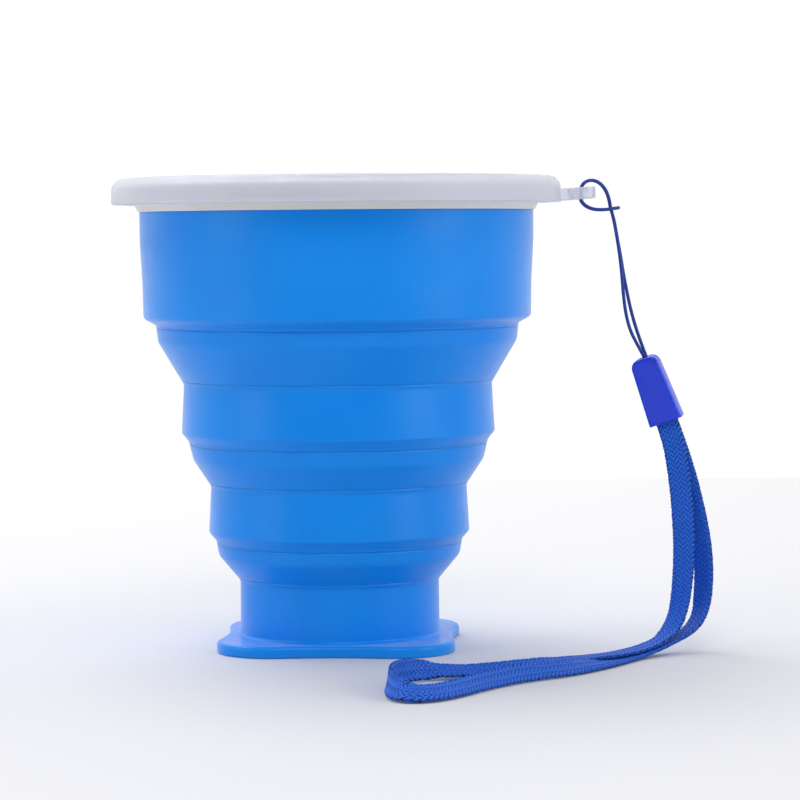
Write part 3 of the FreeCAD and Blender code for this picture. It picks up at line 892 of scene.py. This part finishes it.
def fold_outline(fold):
    """A fold's outline between its stub on the cone and its stub on the neck."""
    crease, elbow, neck = fold
    low = crease[1] + CONE_STUB
    high = neck[1] - NECK_STUB
    cone_inset = wall_inset(crease, elbow)
    neck_inset = wall_inset(elbow, neck)
    outer_low = line_radius(crease, elbow, low)
    outer_high = line_radius(elbow, neck, high)
    cone_slope = (elbow[0] - crease[0]) / (elbow[1] - crease[1])
    neck_slope = (neck[0] - elbow[0]) / (neck[1] - elbow[1])
    climb = (cone_inset - neck_inset) / (cone_slope - neck_slope)
    inner_elbow = (elbow[0] - cone_inset + cone_slope * climb, elbow[1] + climb)
    return divided(rounded([
        (outer_low, low),
        (*elbow, ELBOW_ROUND + FOLD_WALL),
        (outer_high, high),
        (outer_high - neck_inset, high),
        (*inner_elbow, ELBOW_ROUND),
        (outer_low - cone_inset, low),
    ]), FOLD_STEP)


def add_fold(name, fold, node):
    """The silicone wall of a fold, turned from its section, with no body of its own."""
    obj = lathe(name, fold_outline(fold))
    weight_normals(obj)
    finish_piece(obj, SILICONE, None, node)
    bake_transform(obj)


def stub_above(fold):
    """Outer and inner corners of the cone stub at the top of a band."""
    crease, elbow, _ = fold
    high = crease[1] + CONE_STUB
    outer = line_radius(crease, elbow, high)
    return (outer, high), (outer - wall_inset(crease, elbow), high)


def stub_below(fold):
    """Outer and inner corners of the neck stub at the foot of a band."""
    _, elbow, neck = fold
    low = neck[1] - NECK_STUB
    outer = line_radius(elbow, neck, low)
    return (outer, low), (outer - wall_inset(elbow, neck), low)


def add_stiff_wall(name, corners, step, body, node):
    """A stiff silicone wall turned from its section's corners."""
    obj = lathe(name, divided(rounded(corners), step))
    weight_normals(obj)
    finish_piece(obj, SILICONE, body, node)


def add_band(name, fold_below, lip, fold_above, body):
    """A stiff band with its chamfered lip, and the rounded creases at both its ends."""
    low_outer, low_inner = stub_below(fold_below)
    high_outer, high_inner = stub_above(fold_above)
    neck = fold_below[2]
    crease = fold_above[0]
    add_stiff_wall(name, [
        low_inner,
        low_outer,
        (*neck, NECK_ROUND),
        (*lip, LIP_ROUND),
        (*crease, CREASE_ROUND),
        high_outer,
        high_inner,
        (crease[0] - BAND_WALL, crease[1] - CREASE_INNER_DROP, CREASE_ROUND),
        (neck[0] - FOLD_WALL, neck[1] + NECK_INNER_RISE, CREASE_ROUND),
    ], BAND_STEP, body, body)


def add_base_cup():
    """The closed base cup, with a soft fillet where it meets its foot."""
    high_outer, high_inner = stub_above(LOWER_FOLD)
    crease = LOWER_FOLD[0]
    add_stiff_wall("base_cup_wall", [
        (0, FOOT_TOP - BASE_SUNK),
        (BASE_RADIUS + BASE_SKIRT_BOTTOM, FOOT_TOP - BASE_SUNK),
        (BASE_RADIUS + BASE_SKIRT_TOP, FOOT_TOP + BASE_SKIRT_RISE),
        (BASE_RADIUS, FOOT_TOP + BASE_FILLET_RISE, BASE_FILLET),
        (*crease, CREASE_ROUND),
        high_outer,
        high_inner,
        (crease[0] - BAND_WALL, crease[1] - CREASE_INNER_DROP, CREASE_ROUND),
        (BASE_RADIUS - BAND_WALL, FOOT_TOP + BASE_FLOOR, BASE_FLOOR_ROUND),
        (0, FOOT_TOP + BASE_FLOOR),
    ], BAND_STEP, "base", "base_cup")


def add_collar():
    """The tall collar band up to the rim ring."""
    low_outer, low_inner = stub_below(UPPER_FOLD)
    lip_radius, lip_height = COLLAR_LIP
    chamfer = (lip_radius - COLLAR_CHAMFER_WIDTH, lip_height - COLLAR_CHAMFER_DROP)
    add_stiff_wall("collar_band_wall", [
        low_inner,
        low_outer,
        (*UPPER_FOLD[2], NECK_ROUND),
        (*chamfer, COLLAR_CHAMFER_ROUND),
        (lip_radius, lip_height + COLLAR_LIP_RISE, COLLAR_LIP_ROUND),
        (*COLLAR_WAIST, COLLAR_SIDE_ROUND),
        (*COLLAR_SHOULDER, COLLAR_SIDE_ROUND),
        (COLLAR_SHOULDER[0], COLLAR_TOP, COLLAR_TOP_ROUND),
        (RING_BORE, COLLAR_TOP),
        (lip_radius - BAND_WALL, lip_height + COLLAR_INNER_RISE, COLLAR_INNER_ROUND),
    ], RIM_STEP, "collar", "collar_band")


def foot_quarter():
    """A quarter of the foot's plan outline: one shallow hollow and one round lobe, in mm."""
    gap = FOOT_LOBE_RADIUS - FOOT_SIDE_REACH
    hollow_centre = (2 * FOOT_LOBE_CENTRE ** 2 - gap ** 2) / (2 * (FOOT_LOBE_CENTRE + gap))
    hollow_radius = hollow_centre - FOOT_SIDE_REACH
    slope = math.atan2(FOOT_LOBE_CENTRE, hollow_centre - FOOT_LOBE_CENTRE)
    quarter = []
    for number in range(FOOT_HOLLOW_STEPS):
        angle = -slope + 2 * slope * number / FOOT_HOLLOW_STEPS
        quarter.append((hollow_centre - hollow_radius * math.cos(angle),
                        hollow_radius * math.sin(angle)))
    sweep = math.pi / 2 + 2 * slope
    for number in range(FOOT_LOBE_STEPS):
        angle = -slope + sweep * number / FOOT_LOBE_STEPS
        quarter.append((FOOT_LOBE_CENTRE + FOOT_LOBE_RADIUS * math.cos(angle),
                        FOOT_LOBE_CENTRE + FOOT_LOBE_RADIUS * math.sin(angle)))
    return quarter


def foot_outline():
    """The foot's plan outline: the same quarter four times, in mm."""
    quarter = foot_quarter()
    points = []
    for side in range(4):
        turn = math.radians(90 * side + FOOT_TURN)
        for x, y in quarter:
            points.append((x * math.cos(turn) - y * math.sin(turn),
                           x * math.sin(turn) + y * math.cos(turn)))
    return points


def foot_ring(work, outline, inset, height):
    """The foot's outline at a height, drawn in square to its edge."""
    ring = []
    for index, (x, y) in enumerate(outline):
        before = outline[index - 1]
        after = outline[(index + 1) % len(outline)]
        out = Vector((after[1] - before[1], before[0] - after[0])).normalized()
        place = Vector((x - out.x * inset, y - out.y * inset, height)) * MM
        ring.append(work.verts.new(place))
    return ring


def add_foot():
    """The four-lobed foot, its edge rounded over at the top and eased at the bottom."""
    outline = foot_outline()
    work = bmesh.new()
    rings = [foot_ring(work, outline, inset, height) for inset, height in FOOT_EDGE]
    for lower, upper in zip(rings, rings[1:]):
        bridge(work, lower, upper)
    work.faces.new(rings[-1])
    work.faces.new(list(reversed(rings[0])))
    smooth_faces(work)
    obj = link_mesh("foot_plate_pad", close_work(work, "foot_plate_pad"))
    weight_normals(obj)
    finish_piece(obj, SILICONE, "base", "foot_plate")


add_foot()
add_base_cup()
add_fold("lower_fold_wall", LOWER_FOLD, "lower_fold")
add_band("lower_band_wall", LOWER_FOLD, LOWER_LIP, MIDDLE_FOLD, "lower_band")
add_fold("middle_fold_wall", MIDDLE_FOLD, "middle_fold")
add_band("upper_band_wall", MIDDLE_FOLD, UPPER_LIP, UPPER_FOLD, "upper_band")
add_fold("upper_fold_wall", UPPER_FOLD, "upper_fold")
add_collar()


# ---- Ring and lid ----
def add_ring():
    """The hard ring at the mouth."""
    obj = lathe("rim_ring_body", divided(rounded([
        (RING_BORE, COLLAR_TOP, RING_BORE_ROUND),
        (RING_SPIGOT, COLLAR_TOP, RING_SPIGOT_ROUND),
        (*RING_STEP, RING_ROUND),
        (RING_FLANGE, RING_FLANGE_BOTTOM, RING_FLANGE_ROUND),
        (RING_FLANGE, RING_TOP, RING_ROUND),
        (RING_BORE, RING_TOP, RING_ROUND),
    ]), RIM_STEP))
    weight_normals(obj)
    finish_piece(obj, RING_PLASTIC, "collar", "rim_ring")


def lid_outline():
    """The lid's section: sunk panel, raised hollow rim, snap skirt and plug lip."""
    plug_bore = LID_PLUG_RADIUS - LID_WALL
    plug_tip = LID_PLUG_RADIUS - LID_DRAFT
    rim_inside = RING_STEP[0] + LID_WALL / 2
    hollow_top = LID_TOP - LID_WALL
    return rounded([
        (0, LID_PANEL_BOTTOM),
        (plug_bore, LID_PANEL_BOTTOM, LID_CORNER_ROUND),
        (plug_bore, LID_PLUG_BOTTOM, LID_CORNER_ROUND),
        (plug_tip, LID_PLUG_BOTTOM, LID_CORNER_ROUND),
        (LID_PLUG_RADIUS, LID_PANEL_BOTTOM, LID_CREASE_ROUND),
        (rim_inside, LID_PANEL_BOTTOM, LID_CORNER_ROUND),
        (rim_inside + LID_RIM_LEAN, hollow_top, LID_RIM_WALL_ROUND),
        (LID_SKIRT_BORE, hollow_top, LID_HOLLOW_ROUND),
        (LID_SKIRT_BORE, LID_BOTTOM + LID_BEAD_RISE, LID_CREASE_ROUND),
        (LID_SKIRT_BORE - LID_BEAD, LID_BOTTOM, LID_BEAD_ROUND),
        (LID_RADIUS, LID_BOTTOM, LID_CORNER_ROUND),
        (LID_RADIUS - LID_DRAFT, LID_TOP, LID_RIM_ROUND),
        (rim_inside - LID_RIM_TOP_INSET, LID_TOP, LID_RIM_INNER_ROUND),
        (rim_inside - LID_RIM_FOOT_INSET, LID_PANEL_TOP, LID_PANEL_ROUND),
        (0, LID_PANEL_TOP),
    ])


def tab_outlines():
    """The tab's outer edge, with a round end, and the edge of its hole, in mm."""
    half = TAB_WIDTH / 2
    end_centre = TAB_REACH - half
    outer = [(TAB_ROOT - TAB_OVERLAP, -half)]
    for number in range(TAB_END_STEPS + 1):
        angle = -math.pi / 2 + math.pi * number / TAB_END_STEPS
        outer.append((end_centre + half * math.cos(angle), half * math.sin(angle)))
    outer.append((TAB_ROOT - TAB_OVERLAP, half))
    hole = []
    for number in range(TAB_HOLE_STEPS):
        angle = 2 * math.pi * number / TAB_HOLE_STEPS
        hole.append((TAB_HOLE_X + TAB_HOLE_RADIUS * math.cos(angle),
                     TAB_HOLE_RADIUS * math.sin(angle)))
    return outer, hole


def flat_tab():
    """The tab as a level plate with rounded edges, centred on z = 0."""
    data = bpy.data.curves.new("tab_outline", "CURVE")
    data.dimensions = "2D"
    data.fill_mode = "BOTH"
    for loop in tab_outlines():
        spline = data.splines.new("POLY")
        spline.points.add(len(loop) - 1)
        for point, (x, y) in zip(spline.points, loop):
            point.co = (x * MM, y * MM, 0, 1)
        spline.use_cyclic_u = True
    data.offset = -TAB_EDGE_ROUND * MM
    data.bevel_depth = TAB_EDGE_ROUND * MM
    data.bevel_resolution = TAB_EDGE_STEPS
    data.extrude = (TAB_THICKNESS / 2 - TAB_EDGE_ROUND) * MM
    obj = bpy.data.objects.new("tab_outline", data)
    bpy.context.scene.collection.objects.link(obj)
    mesh = bpy.data.meshes.new_from_object(obj)
    bpy.data.objects.remove(obj)
    return mesh


def tab_mesh():
    """The lanyard tab, closed, raised to its place and tipped up a little."""
    work = bmesh.new()
    work.from_mesh(flat_tab())
    bmesh.ops.remove_doubles(work, verts=work.verts, dist=WELD)
    rise = math.radians(TAB_RISE)
    for vertex in work.verts:
        along = vertex.co.x - TAB_ROOT * MM
        up = vertex.co.z + TAB_THICKNESS / 2 * MM
        vertex.co.x = TAB_ROOT * MM + along * math.cos(rise) - up * math.sin(rise)
        vertex.co.z = TAB_BOTTOM * MM + along * math.sin(rise) + up * math.cos(rise)
    return close_work(work, "lid_tab")


def add_lid():
    """The lid with its tab, joined into one moulding."""
    obj = lathe("lid_cap", lid_outline())
    tab = link_mesh("lid_tab", tab_mesh())
    join = obj.modifiers.new("join_tab", "BOOLEAN")
    join.operation = "UNION"
    join.solver = "EXACT"
    join.object = tab
    graph = bpy.context.evaluated_depsgraph_get()
    joined = bpy.data.meshes.new_from_object(obj.evaluated_get(graph))
    obj.modifiers.clear()
    obj.data = joined
    bpy.data.objects.remove(tab)
    for polygon in joined.polygons:
        polygon.use_smooth = True
    weight_normals(obj)
    finish_piece(obj, LID_PLASTIC, "lid", "lid")


add_ring()
add_lid()


# ---- Clasp ----
def clasp_place(across, depth, height):
    """A point of the clasp's own frame, in mm, in the cup's frame, in metres."""
    turned = Matrix.Rotation(math.radians(CLASP_TURN), 3, "Z") @ Vector((across, depth, height))
    tilted = Matrix.Rotation(math.radians(CLASP_TILT), 3, "Y") @ turned
    return (tilted + Vector(CLASP_FOOT)) * MM


def arc_drop(radius, over):
    """How far a rounded corner has fallen away where it is entered by a distance."""
    return radius - math.sqrt(max(0, radius ** 2 - over ** 2))


def clasp_half_width(height):
    """How wide the clasp's outside is at a height: a taper with rounded shoulders."""
    taper = CLASP_FOOT_HALF + (CLASP_TOP_HALF - CLASP_FOOT_HALF) * height / CLASP_LENGTH
    over = max(height - (CLASP_LENGTH - CLASP_SHOULDER_ROUND), 0)
    return taper - arc_drop(CLASP_SHOULDER_ROUND, over)


def clasp_depth(height):
    """How deep one half of the clasp is at a height: flat, with eased ends."""
    over = max(CLASP_TOP_EASE - (CLASP_LENGTH - height), 0)
    foot = max(CLASP_FOOT_EASE - height, 0)
    return CLASP_HALF_DEPTH - arc_drop(CLASP_TOP_EASE, over) - foot


def clasp_bore(height):
    """Half width and depth of the room inside: the strap's pocket, then the cord's slot."""
    share = min(1, max(0, (height - CLASP_POCKET_TOP) / CLASP_POCKET_TAPER))
    width = CLASP_POCKET_HALF + (CLASP_SLOT_HALF - CLASP_POCKET_HALF) * share
    depth = CLASP_POCKET_DEPTH + (CLASP_SLOT_DEPTH - CLASP_POCKET_DEPTH) * share
    return width, depth


def clasp_ring(height, side):
    """One half's section at a height: rounded outside, hollow inside, open at the parting line."""
    width = clasp_half_width(height)
    depth = clasp_depth(height)
    bore_width, bore_depth = clasp_bore(height)
    inset = CLASP_SEAM_EASE
    edge = min(CLASP_EDGE_ROUND, width * CLASP_EDGE_LIMIT, depth * CLASP_EDGE_LIMIT)
    angles = [math.pi / 2 * number / CLASP_EDGE_STEPS for number in range(CLASP_EDGE_STEPS + 1)]
    ring = [(-width + inset, CLASP_SEAM), (-width, CLASP_SEAM + inset)]
    for angle in angles:
        ring.append((-width + edge - edge * math.cos(angle), depth - edge + edge * math.sin(angle)))
    for angle in angles:
        ring.append((width - edge + edge * math.sin(angle), depth - edge + edge * math.cos(angle)))
    ring += [(width, CLASP_SEAM + inset), (width - inset, CLASP_SEAM)]
    ring += [(bore_width, CLASP_SEAM), (bore_width, bore_depth)]
    ring += [(-bore_width, bore_depth), (-bore_width, CLASP_SEAM)]
    return [clasp_place(across, side * away, height) for across, away in ring]


def clasp_heights():
    """The levels of the clasp's sections, closer together over its rounded shoulders."""
    shoulder = CLASP_LENGTH - CLASP_SHOULDER_ROUND
    heights = list(CLASP_LEVELS)
    for number in range(CLASP_SHOULDER_STEPS + 1):
        angle = math.pi / 2 * number / CLASP_SHOULDER_STEPS
        heights.append(shoulder + CLASP_SHOULDER_ROUND * math.sin(angle))
    return heights


def add_clasp_half(name, side, node):
    """One moulded half of the clasp. side is -1 for the front half and +1 for the back half."""
    work = bmesh.new()
    rings = []
    for height in clasp_heights():
        rings.append([work.verts.new(place) for place in clasp_ring(height, side)])
    for lower, upper in zip(rings, rings[1:]):
        bridge(work, lower, upper)
    work.faces.new(rings[0])
    work.faces.new(rings[-1])
    smooth_faces(work)
    obj = link_mesh(name, close_work(work, name))
    obj.data.set_sharp_from_angle(angle=math.radians(CLASP_SHARP_DEGREES))
    finish_piece(obj, CLASP_PLASTIC, "lid", node)


add_clasp_half("clasp_front_half", -1, "clasp_front_shell")
add_clasp_half("clasp_back_half", 1, "clasp_back_shell")


# ---- CAD nodes that stay ----
def paint_node(name, material):
    """Gives a CAD node its material."""
    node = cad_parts[name]
    node.data.materials.clear()
    node.data.materials.append(material)


paint_node("strap_crimp", METAL)
paint_node("cord_knot", CORD_YARN)


# ---- Stage ----
def add_floor():
    """A pale floor that ends behind the cup, as a table top does, painted darker in front and lighter
    at the back for the fall of the light.
    """
    corners = [
        (-FLOOR_HALF_WIDTH, FLOOR_FRONT, 0),
        (FLOOR_HALF_WIDTH, FLOOR_FRONT, 0),
        (FLOOR_HALF_WIDTH, FLOOR_BACK, 0),
        (-FLOOR_HALF_WIDTH, FLOOR_BACK, 0),
    ]
    mesh = bpy.data.meshes.new("floor")
    mesh.from_pydata(corners, [], [(0, 1, 2, 3)])
    floor = link_mesh("floor", mesh)
    material, tree, shader = new_material("floor_paper")
    coordinates = tree.nodes.new("ShaderNodeTexCoord")
    split = tree.nodes.new("ShaderNodeSeparateXYZ")
    tree.links.new(coordinates.outputs["Object"], split.inputs["Vector"])
    depth = tree.nodes.new("ShaderNodeMapRange")
    depth.inputs["From Min"].default_value = FLOOR_DIM_UNTIL
    depth.inputs["From Max"].default_value = FLOOR_BACK
    tree.links.new(split.outputs["Y"], depth.inputs["Value"])
    # painted shade in front, painted light towards the back edge
    tint = colour_ramp(tree, depth.outputs["Result"], ((0.0, FLOOR_DIM), (1.0, FLOOR_BRIGHT)))
    tree.links.new(tint, shader.inputs["Base Color"])
    shader.inputs["Roughness"].default_value = 0.7
    mesh.materials.append(material)


def add_world():
    """White studio surroundings: bright behind and above, dim on the side that the cup faces."""
    world = bpy.data.worlds.new("studio")
    world.use_nodes = True
    tree = world.node_tree
    coordinates = tree.nodes.new("ShaderNodeTexCoord")
    split = tree.nodes.new("ShaderNodeSeparateXYZ")
    tree.links.new(coordinates.outputs["Generated"], split.inputs["Vector"])
    spread = tree.nodes.new("ShaderNodeMapRange")
    spread.inputs["From Min"].default_value = DIM_DIRECTION
    spread.inputs["From Max"].default_value = BRIGHT_DIRECTION
    spread.inputs["To Min"].default_value = DIM_STRENGTH
    spread.inputs["To Max"].default_value = BRIGHT_STRENGTH
    spread.interpolation_type = "SMOOTHSTEP"
    tree.links.new(split.outputs["Y"], spread.inputs["Value"])
    background = tree.nodes["Background"]
    background.inputs["Color"].default_value = (1, 1, 1, 1)
    path = tree.nodes.new("ShaderNodeLightPath")
    choice = tree.nodes.new("ShaderNodeMix")
    tree.links.new(path.outputs["Is Camera Ray"], choice.inputs["Factor"])
    tree.links.new(spread.outputs["Result"], choice.inputs["A"])
    choice.inputs["B"].default_value = WALL_STRENGTH
    tree.links.new(choice.outputs["Result"], background.inputs["Strength"])
    bpy.context.scene.world = world
    bpy.context.scene.view_settings.view_transform = "Standard"


def add_light(name, place, size, power):
    """A round lamp that looks at the middle of the cup."""
    data = bpy.data.lights.new(name, "AREA")
    data.shape = "DISK"
    data.size = size
    data.energy = power
    lamp = bpy.data.objects.new(name, data)
    lamp.location = place
    lamp.rotation_mode = "QUATERNION"
    aim = Vector(LIGHT_TARGET) - Vector(place)
    lamp.rotation_quaternion = aim.to_track_quat("-Z", "Y")
    bpy.context.scene.collection.objects.link(lamp)


add_floor()
add_world()
for light in LIGHTS:
    add_light(*light)
